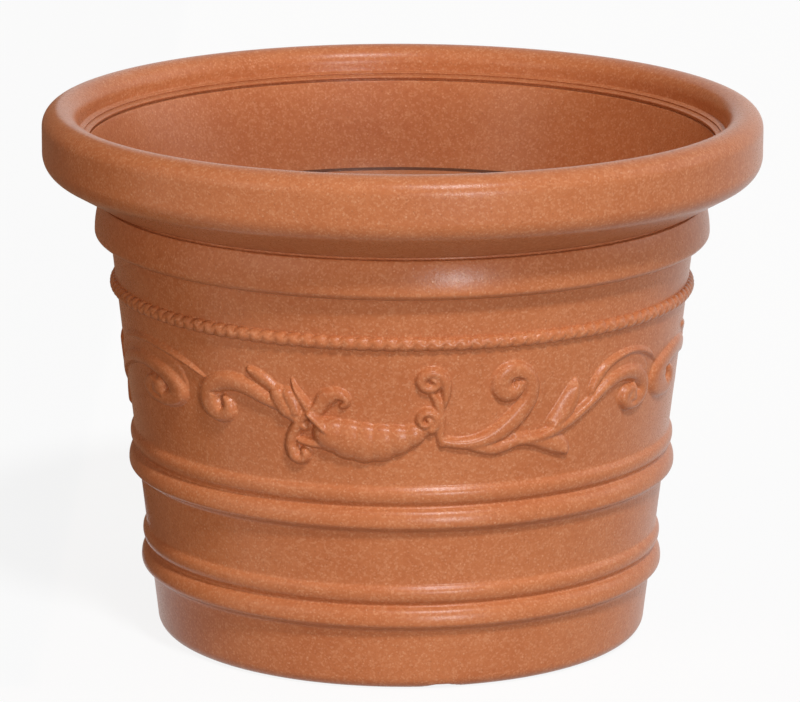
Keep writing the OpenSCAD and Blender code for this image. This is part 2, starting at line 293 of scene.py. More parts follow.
def bare(made):
    """Gives a new material or world an empty node tree"""
    made.use_nodes = True
    made.node_tree.nodes.clear()
    return made, made.node_tree


def tint(tree, amount, first, second):
    """Mixes two colours"""
    settings = {"data_type": "RGBA", "blend_type": "MIX", "clamp_factor": True}
    return node(tree, "ShaderNodeMix", settings, {0: amount, 6: first, 7: second}, 2)


def spread(tree, value, low, high, to_low=0.0, to_high=1.0):
    """Stretches a value from one range to another"""
    return node(tree, "ShaderNodeMapRange", {"clamp": True},
                {"Value": value, "From Min": low, "From Max": high,
                 "To Min": to_low, "To Max": to_high})


def noise(tree, place, scale, detail, rough=0.5):
    """Value of a cloudy noise"""
    return node(tree, "ShaderNodeTexNoise", {},
                {"Vector": place, "Scale": scale, "Detail": detail, "Roughness": rough})


def specks(tree, place, scale):
    """A random value for each cell of a Voronoi texture, and the distance from the cell's point"""
    away = node(tree, "ShaderNodeTexVoronoi", {"feature": "F1"},
                {"Vector": place, "Scale": scale}, "Distance")
    colour = Field(tree, away.socket.node.outputs["Color"])
    return node(tree, "ShaderNodeSeparateColor", {}, {"Color": colour}), away


def moulded_terracotta(name, clay, pale, deep, gap_shade_band=None):
    """Plastic with a baked-clay look: cloudy colour, fine grain, flecks and pits, satin sheen; an
    optional band of painted shade darkens a gap
    """
    material, tree = bare(bpy.data.materials.new(name))
    place = node(tree, "ShaderNodeTexCoord", output="Object")
    clouds = noise(tree, place, 9.0, 3.0, 0.55)
    mottle = noise(tree, place, 120.0, 2.0, 0.6)
    grain = noise(tree, place, 640.0, 2.0, 0.65)
    crumb = specks(tree, place, 620.0)[0]
    pick, away = specks(tree, place, 330.0)
    core = spread(tree, away, 0.16, 0.34, 1.0, 0.0)
    fleck = core * spread(tree, pick, 0.45, 0.95)
    pit = core * spread(tree, pick, 0.40, 0.05)
    pale_crumb, dark_crumb = (0.78, 0.42, 0.24, 1), (0.30, 0.085, 0.030, 1)
    pale_fleck, dark_pit = (0.78, 0.46, 0.28, 1), (0.22, 0.060, 0.022, 1)
    base = tint(tree, spread(tree, clouds, 0.3, 0.7), deep, clay)
    for amount, colour in ((spread(tree, mottle, 0.35, 0.75) * 0.35, pale),
                           (spread(tree, grain, 0.35, 0.7, 0.0, 0.5), deep),
                           (spread(tree, crumb, 0.6, 1.0) * 0.20, pale_crumb),
                           (spread(tree, crumb, 0.4, 0.0) * 0.12, dark_crumb),
                           (fleck * 0.24, pale_fleck), (pit * 0.30, dark_pit)):
        base = tint(tree, amount, base, colour)
    if gap_shade_band:                # painted shade: the gap between the wall and the plate is coloured dark where shade falls
        low, top, outer = gap_shade_band
        height = node(tree, "ShaderNodeSeparateXYZ", {}, {"Vector": place}, "Z")
        flat = node(tree, "ShaderNodeVectorMath", {"operation": "MULTIPLY"},
                    {0: place, 1: (1, 1, 0)})
        reach = node(tree, "ShaderNodeVectorMath", {"operation": "LENGTH"}, {0: flat}, "Value")
        band = (height < top) * (height > low) * (reach < outer)
        base = tint(tree, band * 0.85, base, (0.060, 0.014, 0.005, 1))
    rough = 0.28 + 0.08 * spread(tree, grain, 0.3, 0.7) - 0.04 * spread(tree, clouds, 0.3, 0.7)
    bump = node(tree, "ShaderNodeBump", {},
                {"Strength": 0.35, "Distance": 0.0006,
                 "Height": grain * 0.5 + mottle * 0.8 + fleck * 0.25})
    skin = node(tree, "ShaderNodeBsdfPrincipled", {},
                {"Base Color": base, "Roughness": rough, "Normal": bump,
                 "IOR": 1.47, "Specular IOR Level": 0.22})
    node(tree, "ShaderNodeOutputMaterial", {}, {"Surface": skin})
    return material


CLAY = (0.485, 0.158, 0.058, 1)
CLAY_PALE = (0.580, 0.225, 0.098, 1)
CLAY_DEEP = (0.410, 0.118, 0.040, 1)
# painted shade round the plate: the band of wall at the plate's edge that is coloured dark
GAP_SHADE_UNDER, GAP_SHADE_OVER, GAP_SHADE_OUT = 1.0, 6.8, 3.0      # from the ledge's edge, round the plate
gap_shade = ((LEDGE_Z - GAP_SHADE_UNDER) * mm, (LEDGE_Z + GAP_SHADE_OVER) * mm, (WELL_RADIUS + GAP_SHADE_OUT) * mm)
terracotta = moulded_terracotta("terracotta_skin", CLAY, CLAY_PALE, CLAY_DEEP, gap_shade)
shell.data.materials.append(terracotta)
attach(shell, "pot")
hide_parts("pot_shell")


# Rope band
# A twisted cord ornament that runs round under the shoulder, moulded in one with the wall. Soft
# strands lean to the right as they rise, with a furrow between each two, and their backs are let
# into the wall.

ROPE_Z, ROPE_RADIUS, ROPE_SINK, ROPE_STRANDS = SHOULDER_Z - 37.2, 6.25, 0.8, 132
ROPE_ROOT = 2.5                  # how deep the strands' backs sit in the wall, which is thicker
STRAND_FULL = 0.62               # under 1 it gives full strands with narrow furrows

tree = bpy.data.node_groups.new("rope_round_the_wall", "GeometryNodeTree")
tree.interface.new_socket("Geometry", in_out="INPUT", socket_type="NodeSocketGeometry")
for kind, labels in (("Float", ("Ring radius", "Height", "Rope radius", "Furrow", "Lean")),
                     ("Int", ("Strands", "Steps per strand", "Steps round")),
                     ("Material", ("Finish",))):
    for label in labels:
        tree.interface.new_socket(label, in_out="INPUT", socket_type="NodeSocket" + kind)
tree.interface.new_socket("Geometry", in_out="OUTPUT", socket_type="NodeSocketGeometry")
given = tree.nodes.new("NodeGroupInput")
rope_in = {socket.name: Field(tree, socket) for socket in given.outputs if socket.name}
path = node(tree, "GeometryNodeCurvePrimitiveCircle", {},
            {"Resolution": rope_in["Strands"] * rope_in["Steps per strand"],
             "Radius": rope_in["Ring radius"]})
along = node(tree, "GeometryNodeSplineParameter")
keep_along = tree.nodes.new("GeometryNodeCaptureAttribute")
keep_along.capture_items.new("FLOAT", "along")
keep_along.capture_items.new("VECTOR", "centre")
tree.links.new(path.socket, keep_along.inputs["Geometry"])
tree.links.new(along.socket, keep_along.inputs["along"])
tree.links.new(node(tree, "GeometryNodeInputPosition").socket, keep_along.inputs["centre"])
section = node(tree, "GeometryNodeCurvePrimitiveCircle", {},
               {"Resolution": rope_in["Steps round"], "Radius": rope_in["Rope radius"]})
keep_round = tree.nodes.new("GeometryNodeCaptureAttribute")
keep_round.capture_items.new("FLOAT", "round")
tree.links.new(section.socket, keep_round.inputs["Geometry"])
tree.links.new(along.socket, keep_round.inputs["round"])
tube = node(tree, "GeometryNodeCurveToMesh", {},
            {"Curve": Field(tree, keep_along.outputs["Geometry"]),
             "Profile Curve": Field(tree, keep_round.outputs["Geometry"])})
turn_along = Field(tree, keep_along.outputs["along"])
turn_round = Field(tree, keep_round.outputs["round"])
phase = (turn_along * rope_in["Strands"] + turn_round * rope_in["Lean"]) * math.pi
strand = phase.step("ABSOLUTE", phase.step("SINE", phase)) ** STRAND_FULL
shrink = (strand - 1.0) * rope_in["Furrow"]
place = node(tree, "GeometryNodeInputPosition")
outward = node(tree, "ShaderNodeVectorMath", {"operation": "SUBTRACT"},
               {0: place, 1: Field(tree, keep_along.outputs["centre"])})
push = node(tree, "ShaderNodeVectorMath", {"operation": "SCALE"}, {0: outward, "Scale": shrink})
lift = node(tree, "ShaderNodeCombineXYZ", {}, {"Z": rope_in["Height"]})
offset = node(tree, "ShaderNodeVectorMath", {"operation": "ADD"}, {0: push, 1: lift})
shaped = node(tree, "GeometryNodeSetPosition", {}, {"Geometry": tube, "Offset": offset})
smooth = node(tree, "GeometryNodeSetShadeSmooth", {}, {"Geometry": shaped, "Shade Smooth": True})
real = node(tree, "GeometryNodeRealizeInstances", {}, {"Geometry": smooth})
finished = node(tree, "GeometryNodeSetMaterial", {},
                {"Geometry": real, "Material": rope_in["Finish"]})
given_back = tree.nodes.new("NodeGroupOutput")
tree.links.new(finished.socket, given_back.inputs["Geometry"])


def applied(piece, name):
    """The final shape of an object as a plain mesh, in place of the object"""
    bpy.context.view_layer.update()
    seen = piece.evaluated_get(bpy.context.evaluated_depsgraph_get())
    mesh = bpy.data.meshes.new_from_object(seen)
    mesh.name = name
    bpy.data.objects.remove(piece)
    return mesh


def grown(name, tree, sizes):
    """Runs a node tree with its named sizes and returns the result as a plain mesh object"""
    seed = link(name + "_seed", bpy.data.meshes.new(name + "_seed"))
    modifier = seed.modifiers.new("grow", "NODES")
    modifier.node_group = tree
    keys = {item.name: item.identifier for item in tree.interface.items_tree
            if item.item_type == "SOCKET" and item.in_out == "INPUT"}
    for label, value in sizes.items():
        modifier[keys[label]] = value
    return link(name, applied(seed, name))


rope = grown("rope_band_moulding", tree,
             {"Ring radius": (wall_radius(ROPE_Z) - ROPE_SINK) * mm, "Height": ROPE_Z * mm,
              "Rope radius": ROPE_RADIUS * mm, "Strands": ROPE_STRANDS, "Steps per strand": 14,
              "Steps round": 22, "Furrow": 0.24, "Lean": 1.5, "Finish": terracotta})
for vertex in rope.data.vertices:
    inner = (wall_radius(vertex.co.z / mm) - ROPE_ROOT) * mm
    reach = math.hypot(vertex.co.x, vertex.co.y)
    if reach < inner:
        vertex.co.x *= inner / reach
        vertex.co.y *= inner / reach
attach(rope, "pot")
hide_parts("rope_band")


# Garlands
# Scroll reliefs between the rope and the middle rings, moulded in one with the wall. Each has a
# volute, a bulb with leaves, a ribbed horn and three stems that end in volutes; the two at the
# back are the front one's drawing with its ends drawn out.

GARLAND_Z = 237.6
MM_PER_DEGREE = 4.055            # of the drawing, which is what the wall has at this height


def curl(centre, start_radius, stop_radius, start, sweep, start_width, stop_width, steps):
    """Points of a spiral: (degrees from the front, height, half width)"""
    spiral = []
    for k in range(steps + 1):
        share = k / steps
        radius = start_radius + (stop_radius - start_radius) * share
        angle = math.radians(start + sweep * share)
        spiral.append((centre[0] + radius * math.cos(angle) / MM_PER_DEGREE,
                       centre[1] + radius * math.sin(angle),
                       start_width + (stop_width - start_width) * share))
    return spiral


# both lists hold (points, rise at the start, rise at the end, flatness, lean, millimetres per rib)
STROKES, CUTS = [], []


def stroke(points, rise, flat=2.0, lean=0.0, ribs=0.0, rise_end=None):
    """A raised stroke; flat makes its crown flatter and lean moves the crown to one side"""
    STROKES.append((points, rise, rise if rise_end is None else rise_end, flat, lean, ribs))


def cut(points, depth):
    """A furrow that goes into the strokes"""
    CUTS.append((points, depth, depth, 2.0, 0.0, 0.0))


# left volute with the band that joins it to the bulb, and the leaf over the bulb
stroke([(-25.3, 4, 5.0), (-28.5, 9.5, 6.6), (-31.5, 15.0, 7.4), (-35, 17.6, 7.6),
        (-38.4, 15.6, 7.8), (-40.8, 9.5, 9.0), (-41.7, 2, 10.2), (-41.2, -6, 9.8),
        (-39.6, -10.8, 8.0), (-37.8, -11.2, 6.8), (-36.7, -7.5, 6.0), (-36.7, -1.5, 5.0),
        (-37.5, 3.0, 3.0)], 6.0, flat=2.6)
cut([(-40.1, 6.2, 1.2), (-38.7, 5.6, 2.4), (-38.5, 0, 1.7), (-38.6, -7, 0.9)], 4.6)
stroke([(-31.1, 30, 3.2), (-29.6, 26.5, 5.2), (-27.6, 21.5, 5.6), (-25.2, 15, 4)],
        3.8, flat=3, lean=0.25)
# bulb with a shallow crease, and the spike beside it
stroke([(-24.9, 13, 7.2), (-24.2, 8, 8.4), (-23.0, 0, 7.0)], 7.0, flat=2.6)
stroke([(-22.9, 13, 6.4), (-22.1, 7, 7.2), (-21.2, 0, 5.6)], 6.6, flat=2.6)
cut([(-24.0, 19, 0.8), (-23.1, 9, 1.6), (-22.0, 0, 0.9)], 0.9)
stroke([(-21.95, 27, 0.7), (-21.3, 19.5, 2.2), (-20.1, 11, 3.8), (-18.9, 4, 4.6),
        (-17.4, -3, 4)], 5.0, lean=0.2)
stroke([(-22.8, -1, 5), (-21.0, -7, 5), (-19.6, -12, 4.4)], 5.6)
stroke([(-22.3, -22, 5.2), (-21.3, -14, 5), (-20.2, -7, 4.2), (-18.4, 0, 4.4), (-17, 5, 4)], 6.2)
# hook below the bulb, hook above the horn
stroke([(-22.2, -20, 4.6), (-22.6, -28, 5.4)]
        + curl((-20.6, -34.6), 7.0, 4.0, 170, 205, 5.8, 4.2, 8), 6.2)
stroke([(-17.2, -4, 4), (-16.2, 5, 6.2), (-15.2, 12, 7.2), (-13.7, 15.4, 6.4),
        (-12.0, 16.4, 5), (-10.9, 13, 3.6), (-11.0, 9, 3.1), (-11.8, 7.2, 2.6)], 5.4, flat=2.6)
cut([(-12.6, 12.2, 1.4), (-12.3, 9, 1.6), (-12.6, 6.5, 0.8)], 3.4)
# ribbed horn, the leaf at its mouth, its lower lip and the curl at its tip
stroke([(-15.6, -15.5, 12.5), (-13, -19.4, 15.5), (-9.6, -22.6, 16.8), (-6, -24, 16.6),
        (-2.6, -22.4, 14.4), (0.8, -19, 11), (3.6, -14.5, 7.6), (5.8, -9, 5)],
        10.5, ribs=13.6, rise_end=6)
stroke([(-18.2, 0, 3.4), (-16.6, -6, 4.4), (-15, -12, 3.6), (-13.4, -17, 1.2)], 10, rise_end=11)
stroke([(-20.6, -24, 3), (-18.4, -26, 3.6), (-16, -26, 4.4), (-13.6, -27, 4)], 6)
stroke(curl((4.9, -3.8), 8.8, 2.0, -60, 470, 4.6, 2.4, 12), 6.4)
# first stem with its comma-shaped volute
stroke([(8.2, -24, 4), (7.7, -16, 4.2), (7.7, -6, 4.2), (7.5, 4, 4.2), (6.9, 12, 3.8),
        (6.0, 18, 3)], 4.4)
stroke([(8.3, 4.5, 0.6), (8.5, 11, 2.4), (8.7, 19, 3.8), (8.5, 27, 4.8), (7.5, 33.4, 5.0),
        (5.9, 36, 5.0), (4.3, 33.6, 5.0), (3.8, 28.6, 4.8), (4.5, 24, 4.5), (5.7, 22.9, 4.2),
        (6.8, 25, 3.5), (6.7, 29, 3.1), (5.9, 31, 2.6)], 5.6, flat=2.3)
# second stem with the large volute, and the two leaves under it
stroke([(8.2, -22, 4), (11.5, -24.5, 4.6), (15.5, -23.5, 6), (19.4, -17.5, 7.4),
        (22.8, -7, 8.2), (25.3, 5, 8), (26.2, 16, 7.4), (25.6, 26, 7.4), (23.6, 33, 8.2),
        (21.3, 33, 8.6), (19.9, 26.5, 8.8), (20.2, 18.5, 8.6), (21.8, 15.8, 7.4),
        (23.2, 18.4, 5.8), (23.4, 22.5, 4.4)], 5.6, flat=2.5)
cut([(21.9, 26.4, 1.0), (22.8, 27.6, 1.9), (24.2, 26.2, 1.0)], 4.6)
cut([(24.0, 8.5, 1.0), (24.6, 14, 1.6), (24.9, 19, 1.0), (24.8, 24, 0.7), (24.2, 27, 0.6)], 2.2)
stroke([(13, -26.5, 3), (16, -29, 4.8), (19, -30.4, 5.8), (22.2, -27.6, 5), (26, -23, 4)],
        4.6, flat=2.4)
stroke([(23.5, -24, 4.4), (27.8, -26, 6.4), (31, -29.5, 8.4), (33.4, -33.5, 8),
        (35, -37.5, 5.5), (35.9, -42.5, 1.2)], 4.8, flat=2.5, lean=-0.25)
stroke([(36.6, 21, 0.8), (36.2, 14, 4.8), (35.6, 6, 8.2), (34.4, -3, 9.0), (32, -13, 7)],
        5.0, flat=2.6, lean=0.45)
# third stem with its snail, and the long leaf over it
stroke([(24.5, -26.5, 3.8), (29, -24.5, 4.8), (33.4, -18.5, 5), (37.4, -10.5, 4.6),
        (41, -1.2, 4.4), (44, 7.2, 5.2), (47.4, 14, 6.2), (51.2, 15.8, 6.6), (54.9, 11.6, 7.2),
        (57.2, 3.5, 7.4), (57.2, -5.5, 7), (55.2, -10.6, 7), (52.4, -10.2, 7), (51.2, -5.2, 7),
        (52.4, 0, 6), (54, 0, 4)], 5.8, flat=2.6, lean=0.12)
stroke([(53.4, -8, 7), (53.4, 0, 6)], 6.2, flat=2.6)
cut([(49.6, 8.4, 0.8), (51, 7.6, 1.6), (52.6, 5.4, 1.2), (53.6, 3.4, 0.6)], 3.8)
cut([(53.0, -9.4, 2.2), (53.9, -10.0, 2.2)], 1.6)
stroke([(40.6, 2, 1.0), (41.2, 9, 3.6), (42.4, 16.5, 5.0), (44.6, 25.5, 4.4), (48, 31.6, 3.4),
        (52, 33.6, 2.7), (56.2, 30.6, 2.6), (59.6, 24.8, 2.2), (62.3, 17, 0.9)], 4.2, lean=0.2)
stroke([(43.5, 12, 2), (46.8, 22, 4.6), (50.6, 26.4, 5), (54.5, 24.5, 5), (57.4, 18, 4),
        (58.6, 10, 2.6), (59.2, 2, 1)], 1.6, flat=5)


def flowing(points, steps=10, least=0.3):
    """A smooth line through the points of a stroke, nowhere narrower than the least half width"""
    p = np.array(points, float)
    q = np.vstack([2 * p[0] - p[1], p, 2 * p[-1] - p[-2]])
    line = []
    for a, b, c, d in zip(q, q[1:], q[2:], q[3:]):
        for k in range(steps):
            t = k / steps
            line.append((2 * b + (c - a) * t + (2 * a - 5 * b + 4 * c - d) * t * t
                         + (3 * b - a - 3 * c + d) * t ** 3) / 2)
    line = np.array(line + [p[-1]])
    line[:, 2] = np.maximum(line[:, 2], least)
    return line


RIB_WAIST, RIB_DIP = 0.76, 0.42  # width and height between two ribs, as shares of a rib's
TIP_RISE = 0.35                  # rise of a stroke where its width runs out, as a share
FULL_WIDTH = 0.6                 # share of its largest width at which it has its full rise


def relief_heights(degrees, heights):
    """Height of the relief over the wall, in millimetres, on a grid"""
    across, up = np.meshgrid(degrees * MM_PER_DEGREE, heights)
    relief = np.zeros_like(across)
    for group, sinks in ((STROKES, False), (CUTS, True)):
        for points, rise_start, rise_stop, flat, lean, ribs in group:
            line = flowing(points)
            x, y, half = line[:, 0] * MM_PER_DEGREE, line[:, 1], line[:, 2]
            lengths = np.hypot(np.diff(x), np.diff(y))
            run = np.concatenate([[0], np.cumsum(lengths)])
            top = np.zeros_like(across)
            for i in range(len(x) - 1):
                reach = max(half[i], half[i + 1])
                near = ((across > min(x[i], x[i + 1]) - reach)
                        & (across < max(x[i], x[i + 1]) + reach)
                        & (up > min(y[i], y[i + 1]) - reach)
                        & (up < max(y[i], y[i + 1]) + reach))
                if not near.any():
                    continue
                dx, dy = x[i + 1] - x[i], y[i + 1] - y[i]
                px, py = across[near] - x[i], up[near] - y[i]
                share = np.clip((px * dx + py * dy) / (dx * dx + dy * dy + 1e-9), 0, 1)
                ex, ey = px - share * dx, py - share * dy
                side = np.sign(dx * ey - dy * ex)
                width = half[i] + (half[i + 1] - half[i]) * share
                along = run[i] + share * lengths[i]
                wave = np.abs(np.sin(math.pi * along / ribs)) if ribs else 1.0
                width = width * (RIB_WAIST + (1 - RIB_WAIST) * wave)
                u = np.clip(np.hypot(ex, ey) / width, 0, 1)
                crown = (1 - u ** 2) ** 2 if sinks else np.sqrt(1 - u ** flat)
                rise = rise_start + (rise_stop - rise_start) * along / run[-1]
                full = width / (half.max() * FULL_WIDTH)
                rise = rise * np.minimum(1, TIP_RISE + (1 - TIP_RISE) * full)
                height = rise * crown * (1 + lean * side * u) * (RIB_DIP + (1 - RIB_DIP) * wave)
                top[near] = np.maximum(top[near], height)
            relief = np.maximum(relief - top, 0) if sinks else np.maximum(relief, top)
    return relief


def blurred(field, weights):
    """A grid smoothed along both of its sides"""
    for axis in (0, 1):
        field = np.apply_along_axis(lambda row: np.convolve(row, weights, "same"), axis, field)
    return field


SIDE_RISE, FADE_TURN = 0.35, math.radians(50)        # lower towards the mould's parting lines
GRID_STEP, GRID_HALF, GRID_MARGIN = 0.85, 48, 2      # of the patch: mm, mm and degrees
RELIEF_SOFT, RELIEF_SUNK, RELIEF_BACK, RELIEF_LEAST = 0.75, 0.12, 1.5, 0.01


def relief_piece(name, placed):
    """A closed patch of relief on the wall; placed says where on the pot the DRAWN degrees go"""
    drawn, placed = np.array(DRAWN), np.array(placed)
    degrees = np.arange(placed[0] - GRID_MARGIN, placed[-1] + GRID_MARGIN,
                        GRID_STEP / MM_PER_DEGREE)
    heights = np.arange(-GRID_HALF, GRID_HALF, GRID_STEP)
    drawing = np.interp(degrees, placed, drawn)
    drawing = np.where(degrees < placed[0], drawn[0] - (placed[0] - degrees), drawing)
    drawing = np.where(degrees > placed[-1], drawn[-1] + (degrees - placed[-1]), drawing)
    facing = np.minimum(1, np.abs(np.cos(np.radians(degrees))) / math.cos(FADE_TURN))
    relief = blurred(relief_heights(drawing, heights), bell(GRID_STEP, RELIEF_SOFT))
    relief = relief * (SIDE_RISE + (1 - SIDE_RISE) * facing) - RELIEF_SUNK
    keep = relief > RELIEF_LEAST - RELIEF_SUNK
    cells = keep[:-1, :-1] | keep[1:, :-1] | keep[:-1, 1:] | keep[1:, 1:]
    while True:                   # cells that touch only at a corner would pinch the patch
        first = cells[:-1, :-1] & cells[1:, 1:] & ~cells[1:, :-1] & ~cells[:-1, 1:]
        second = cells[1:, :-1] & cells[:-1, 1:] & ~cells[:-1, :-1] & ~cells[1:, 1:]
        if not (first.any() or second.any()):
            break
        cells[1:, :-1] |= first
        cells[:-1, :-1] |= second
    used = np.zeros(relief.shape, bool)
    for down in (0, 1):
        for over in (0, 1):
            used[down:relief.shape[0] - 1 + down, over:relief.shape[1] - 1 + over] |= cells
    count = used.sum()
    index = np.zeros(relief.shape, int)
    index[used] = np.arange(count)
    lean = math.atan2(SHOULDER_RADIUS - FOOT_RADIUS, SHOULDER_Z)
    row, column = np.nonzero(used)
    angle = np.radians(degrees[column])
    z = GARLAND_Z + heights[row]
    sides = []
    for lift in (relief[used], np.full(row.shape, -RELIEF_BACK)):
        radius = wall_radius(z) + lift * math.cos(lean)
        sides.append(np.column_stack([radius * np.sin(angle), -radius * np.cos(angle),
                                      z - lift * math.sin(lean)]))
    faces = []
    walled = np.pad(cells, 1)
    for r, c in zip(*np.nonzero(cells)):
        a, b, d, e = index[r, c], index[r, c + 1], index[r + 1, c + 1], index[r + 1, c]
        faces += [(a, b, d, e), (e + count, d + count, b + count, a + count)]
        for beside, (p, q) in ((walled[r, c + 1], (b, a)), (walled[r + 2, c + 1], (e, d)),
                               (walled[r + 1, c], (a, e)), (walled[r + 1, c + 2], (d, b))):
            if not beside:
                faces.append((p, q, q + count, p + count))
    points = [tuple(point) for point in np.vstack(sides) * mm]
    faces = [tuple(int(corner) for corner in face) for face in faces]
    piece = link(name, mesh_from(name, points, faces))
    piece.data.materials.append(terracotta)
    return piece


DRAWN = (-44.5, -24.5, 40.0, 63.5)                   # degrees of the drawing's ends and joints
REAR = (0.0, 32.0, 89.3, 129.5)                      # where they go in a garland at the back
RIGHT_START, LEFT_START = 60, -170.5
front = relief_piece("garland_relief_front", DRAWN)
right = relief_piece("garland_relief_right", [RIGHT_START + turn for turn in REAR])
left = relief_piece("garland_relief_left", [LEFT_START + turn for turn in REAR])
for piece, solid in ((front, "garland_front"), (right, "garland_right"), (left, "garland_left")):
    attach(piece, "pot")
    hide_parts(solid)


# False bottom
# A loose plate of the same plastic that lies on the ledge inside the neck, so that plants need less
# soil. It has two finger slots to lift it out by.

PLATE_THICK, PLATE_GAP, PLATE_EDGE = 6.0, 6.0, 1.0
SLOT_EDGE, SLOT_LONG, SLOT_WIDE = 38.0, 92.0, 28.0
PLATE_RADIUS = WELL_RADIUS - PLATE_GAP
PLATE_CLAY = (0.520, 0.200, 0.088, 1)
PLATE_PALE = (0.620, 0.280, 0.140, 1)
PLATE_DEEP = (0.440, 0.150, 0.062, 1)
WELD = 0.00001                   # metres between points that are one
FLAT_FACING = 0.999              # faces that look up or down more than this are shaded flat


def ring_of(middle, radius, long, steps):
    """A circle, or a slot with round ends where long is more than its width"""
    corners = []
    for k in range(steps):
        angle = 2 * math.pi * (k + 0.5) / steps
        shift = (long / 2 - radius) * (1 if math.sin(angle) > 0 else -1)
        corners.append(((middle + radius * math.cos(angle)) * mm,
                        (radius * math.sin(angle) + shift) * mm, 0, 1))
    return corners


def cleaned(mesh, crease, weld=0.0):
    """Welds double points, turns the faces outward and keeps edges over crease degrees sharp"""
    cleaner = bmesh.new()
    cleaner.from_mesh(mesh)
    if weld:
        bmesh.ops.remove_doubles(cleaner, verts=cleaner.verts, dist=weld)
    bmesh.ops.recalc_face_normals(cleaner, faces=cleaner.faces)
    cleaner.to_mesh(mesh)
    cleaner.free()
    mesh.set_sharp_from_angle(angle=math.radians(crease))


drawing = bpy.data.curves.new("plate_outline", "CURVE")
drawing.dimensions = "2D"
drawing.fill_mode = "BOTH"
drawing.extrude = (PLATE_THICK / 2 - PLATE_EDGE) * mm
drawing.bevel_depth = PLATE_EDGE * mm
drawing.bevel_resolution = 3
drawing.offset = -PLATE_EDGE * mm
slot_x = PLATE_RADIUS - SLOT_EDGE
for corners in (ring_of(0, PLATE_RADIUS, 2 * PLATE_RADIUS, 288),
                ring_of(slot_x, SLOT_WIDE / 2, SLOT_LONG, 48),
                ring_of(-slot_x, SLOT_WIDE / 2, SLOT_LONG, 48)):
    spline = drawing.splines.new("POLY")
    spline.points.add(len(corners) - 1)
    spline.use_cyclic_u = True
    for point, corner in zip(spline.points, corners):
        point.co = corner
plate_mesh = applied(link("plate_drawing", drawing, smooth=False), "false_bottom_plate")
for vertex in plate_mesh.vertices:
    vertex.co.z += (LEDGE_Z + PLATE_THICK / 2) * mm
plate = link("false_bottom_plate", plate_mesh)
cleaned(plate_mesh, 35, WELD)
for face in plate_mesh.polygons:
    face.use_smooth = abs(face.normal.z) < FLAT_FACING
plate.data.materials.clear()
plate.data.materials.append(moulded_terracotta("terracotta_plate_skin", PLATE_CLAY,
                                               PLATE_PALE, PLATE_DEEP))
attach(plate, "false_bottom")
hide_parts("false_bottom")


# Drain plug
# A black rubber stopper pressed into the drain hole from inside: a short stem, a flange that seals
# on the floor and a half-round grip to pull it by.

STEM_RADIUS, STEM_LOW, STEM_EDGE, STEM_COLLAR = 14.95, 8.5, 1.0, 0.4
FLANGE_RADIUS, FLANGE_THICK, FLANGE_UNDER, FLANGE_EDGE = 23.0, 4.0, 0.8, 1.6
FLANGE_TOP = FLOOR_TOP + FLANGE_THICK
GRIP_RADIUS, GRIP_THICK, GRIP_SINK, GRIP_LIFT = 14.0, 6.0, 1.0, 1.0


def turned(name, line, steps):
    """A closed turned piece with its poles on the axis"""
    points = [(0, 0, line[0][1] * mm), (0, 0, line[-1][1] * mm)]
    for turn in range(steps):
        angle = 2 * math.pi * turn / steps
        points += [(r * math.cos(angle) * mm, r * math.sin(angle) * mm, z * mm)
                   for r, z in line[1:-1]]
    inner = len(line) - 2
    faces = []
    for turn in range(steps):
        here, there = 2 + turn * inner, 2 + (turn + 1) % steps * inner
        faces.append((0, there, here))
        faces.append((1, here + inner - 1, there + inner - 1))
        faces += [(here + k, there + k, there + k + 1, here + k + 1) for k in range(inner - 1)]
    return link(name, mesh_from(name, points, faces))


stopper = turned("stopper_body",
                 [(0, STEM_LOW)]
                 + arc(STEM_RADIUS - STEM_EDGE, STEM_LOW + STEM_EDGE, STEM_EDGE, -math.pi / 2, 0, 5)
                 + [(STEM_RADIUS, FLOOR_TOP - STEM_COLLAR), (STEM_RADIUS, FLOOR_TOP)]
                 + arc(FLANGE_RADIUS - FLANGE_UNDER, FLOOR_TOP + FLANGE_UNDER, FLANGE_UNDER,
                       -math.pi / 2, 0, 5)
                 + arc(FLANGE_RADIUS - FLANGE_EDGE, FLANGE_TOP - FLANGE_EDGE, FLANGE_EDGE,
                       0, math.pi / 2, 6)
                 + [(0, FLANGE_TOP)], 72)
bow = arc(0, 0, GRIP_RADIUS, 0, math.pi, 36)
half = [(GRIP_THICK / 2, 1.0), (GRIP_THICK / 2 - 0.3, 0.3), (GRIP_THICK / 2 - 1.0, 0.0)]
rings = half + [(-y, inset) for y, inset in reversed(half)]      # (place, inset of the edge)
points, faces = [], []
for y, inset in rings:
    scale = (GRIP_RADIUS - inset) / GRIP_RADIUS
    for x, z in bow:              # only the two ends of the bow go down into the flange
        lift = GRIP_LIFT if z > 0.01 else 0.0
        points.append((x * scale * mm, y * mm, (FLANGE_TOP - GRIP_SINK + z * scale + lift) * mm))
span = len(bow)
for k in range(len(rings) - 1):
    for i in range(span):
        j = (i + 1) % span
        faces.append((k * span + i, k * span + j, (k + 1) * span + j, (k + 1) * span + i))
faces.append(tuple(reversed(range(span))))
faces.append(tuple((len(rings) - 1) * span + i for i in range(span)))
grip = link("stopper_grip", mesh_from("stopper_grip", points, faces))

rubber, tree = bare(bpy.data.materials.new("stopper_rubber"))
place = node(tree, "ShaderNodeTexCoord", output="Object")
grain = noise(tree, place, 900.0, 3.0)
dusty = spread(tree, noise(tree, place, 140.0, 2.0), 0.4, 0.8)
colour = tint(tree, dusty, (0.020, 0.019, 0.018, 1), (0.045, 0.040, 0.036, 1))
bump = node(tree, "ShaderNodeBump", {}, {"Strength": 0.25, "Distance": 0.0003, "Height": grain})
skin = node(tree, "ShaderNodeBsdfPrincipled", {},
            {"Base Color": colour, "Normal": bump,
             "Roughness": 0.58 + 0.1 * spread(tree, grain, 0.3, 0.7)})
node(tree, "ShaderNodeOutputMaterial", {}, {"Surface": skin})
for piece in (stopper, grip):
    cleaned(piece.data, 40)
    piece.data.materials.append(rubber)
    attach(piece, "drain_plug")
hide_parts("drain_plug")


